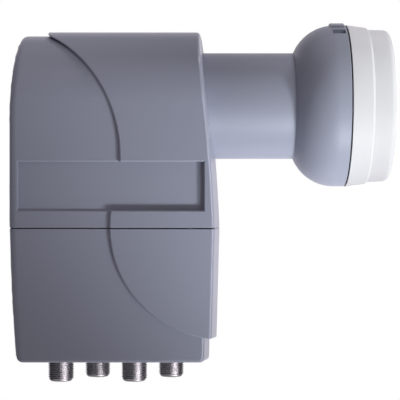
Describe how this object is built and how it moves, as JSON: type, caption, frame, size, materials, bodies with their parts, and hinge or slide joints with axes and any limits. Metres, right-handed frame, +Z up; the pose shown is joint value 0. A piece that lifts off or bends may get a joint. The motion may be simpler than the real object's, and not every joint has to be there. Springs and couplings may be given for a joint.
{
  "type": "satellite lnb",
  "caption": "Satellite LNB: arched two-shell housing with a pull-down shield over threaded ports, a clamp neck, and a bowl horn with a white cap",
  "frame": {"origin": "on the neck's axis, in the middle of the bare stretch that the dish's clamp holds", "axes": "+X along the neck to the feed cap, +Z up, away from the ports, -Y the front with the bare recess"},
  "size_m": [0.142, 0.061, 0.1344],
  "materials": {
    "housing_plastic": "fine moulded texture, grey-blue",
    "horn_casting": "satin grey paint on a casting",
    "cap_plastic": "white, satin",
    "seal_rubber": "matt",
    "chassis_casting": "as cast",
    "board_laminate": "green lacquer",
    "contact_brass": "bright",
    "insulator_plastic": "natural white",
    "port_nickel": "nickel plated, turned",
    "screw_steel": "zinc plated"
  },
  "bodies": {
    "body": {"board_screws": "screw_steel", "cap_seal": "seal_rubber", "chassis": "chassis_casting", "chassis_lid": "chassis_casting", "cover_screws": "screw_steel", "feed_cap": "cap_plastic", "feed_horn": "horn_casting", "front_cover": "housing_plastic", "horizontal_probe": "contact_brass", "horn_gasket": "seal_rubber", "horn_screws": "screw_steel", "lid_gasket": "seal_rubber", "lid_screws": "screw_steel", "neck_seal": "seal_rubber", "port_contact_1": "contact_brass", "port_contact_2": "contact_brass", "port_contact_3": "contact_brass", "port_contact_4": "contact_brass", "port_insulator_1": "insulator_plastic", "port_insulator_2": "insulator_plastic", "port_insulator_3": "insulator_plastic", "port_insulator_4": "insulator_plastic", "port_shell_1": "port_nickel", "port_shell_2": "port_nickel", "port_shell_3": "port_nickel", "port_shell_4": "port_nickel", "port_washer_1": "seal_rubber", "port_washer_2": "seal_rubber", "port_washer_3": "seal_rubber", "port_washer_4": "seal_rubber", "probe_bushes": "insulator_plastic", "rear_cover": "housing_plastic", "rf_board": "board_laminate", "vertical_probe": "contact_brass"},
    "shield": {"weather_shield": "housing_plastic"}
  },
  "joints": [
    {"name": "shield_slide", "type": "slide", "parent": "body", "child": "shield", "axis": [0, 0, -1], "range_m": [0, 0.03]}
  ]
}
